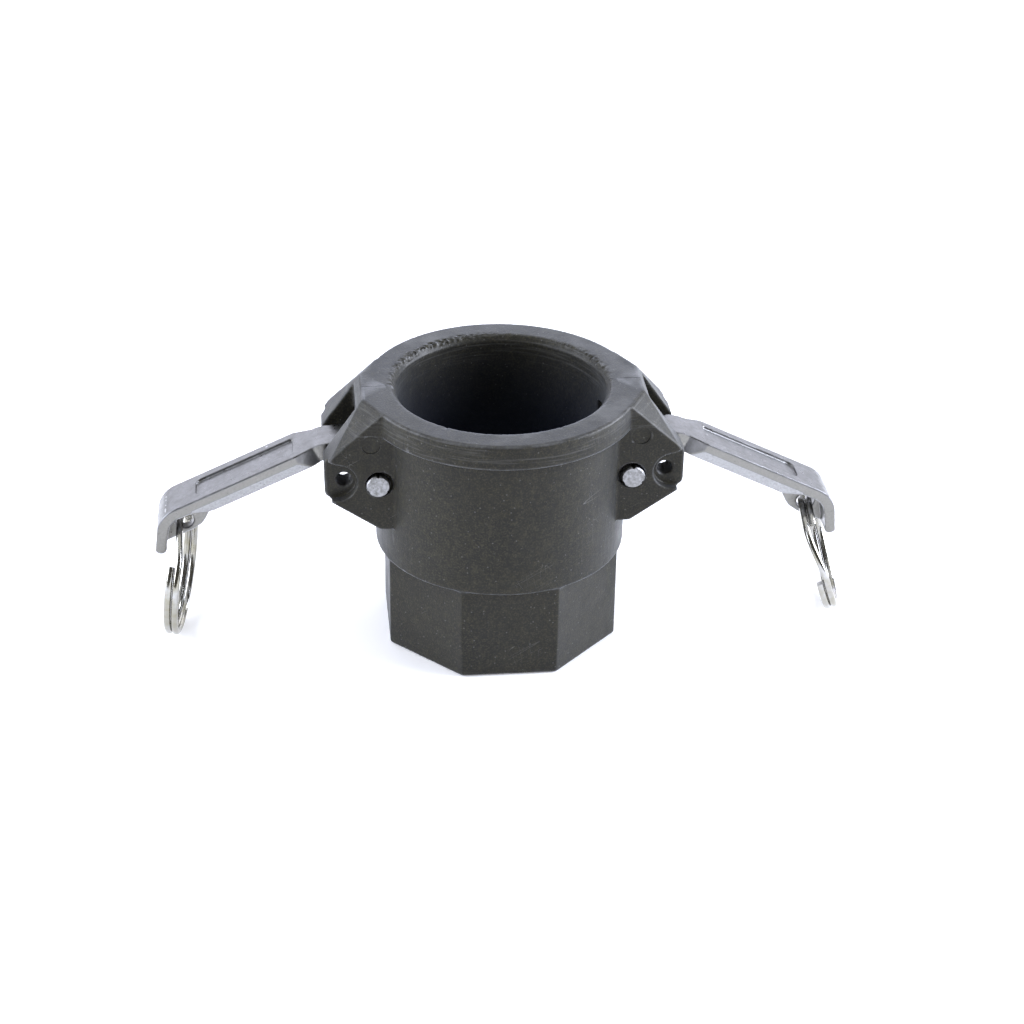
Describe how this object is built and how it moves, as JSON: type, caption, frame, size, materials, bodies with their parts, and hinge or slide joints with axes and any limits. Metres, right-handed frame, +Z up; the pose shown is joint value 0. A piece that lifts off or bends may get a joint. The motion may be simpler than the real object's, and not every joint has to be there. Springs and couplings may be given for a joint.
{
  "type": "cam and groove coupling",
  "caption": "Hose coupling with a cam-locked socket on top, an octagonal threaded foot and two folding cam arms with pull rings.",
  "frame": {"origin": "on the bore's axis, in the plane of the octagonal foot that the coupling stands on", "axes": "+Z up the bore and out of the socket, X along the two arms, Y along the pivot pins"},
  "size_m": [0.218, 0.0838, 0.0831],
  "materials": {
    "body_plastic": "moulded glass-filled polypropylene",
    "gasket_rubber": "moulded nitrile rubber",
    "pin_steel": "drawn stainless steel",
    "arm_steel": "cast and tumbled stainless steel",
    "ring_steel": "bright drawn stainless steel"
  },
  "bodies": {
    "coupler": {"coupler_body": "body_plastic", "face_gasket": "gasket_rubber", "pivot_pin_left": "pin_steel", "pivot_pin_right": "pin_steel"},
    "left_arm": {"cam_arm_left": "arm_steel"},
    "right_arm": {"cam_arm_right": "arm_steel"},
    "left_ring": {"pull_ring_left": "ring_steel"},
    "right_ring": {"pull_ring_right": "ring_steel"}
  },
  "joints": [
    {"name": "left_arm_hinge", "type": "hinge", "parent": "coupler", "child": "left_arm", "pos_m": [-0.0386, 0, 0.0592], "axis": [0, -1, 0], "range_deg": [-31, 65.4]},
    {"name": "right_arm_hinge", "type": "hinge", "parent": "coupler", "child": "right_arm", "pos_m": [0.0386, 0, 0.0592], "axis": [0, 1, 0], "range_deg": [-33, 63.65]},
    {"name": "left_ring_swing", "type": "hinge", "parent": "left_arm", "child": "left_ring", "pos_m": [-0.09768, 0, 0.04002], "axis": [0, 1, 0], "range_deg": [-18, 220]},
    {"name": "right_ring_swing", "type": "hinge", "parent": "right_arm", "child": "right_ring", "pos_m": [0.09706, 0, 0.03822], "axis": [0, -1, 0], "range_deg": [-28, 195]}
  ]
}
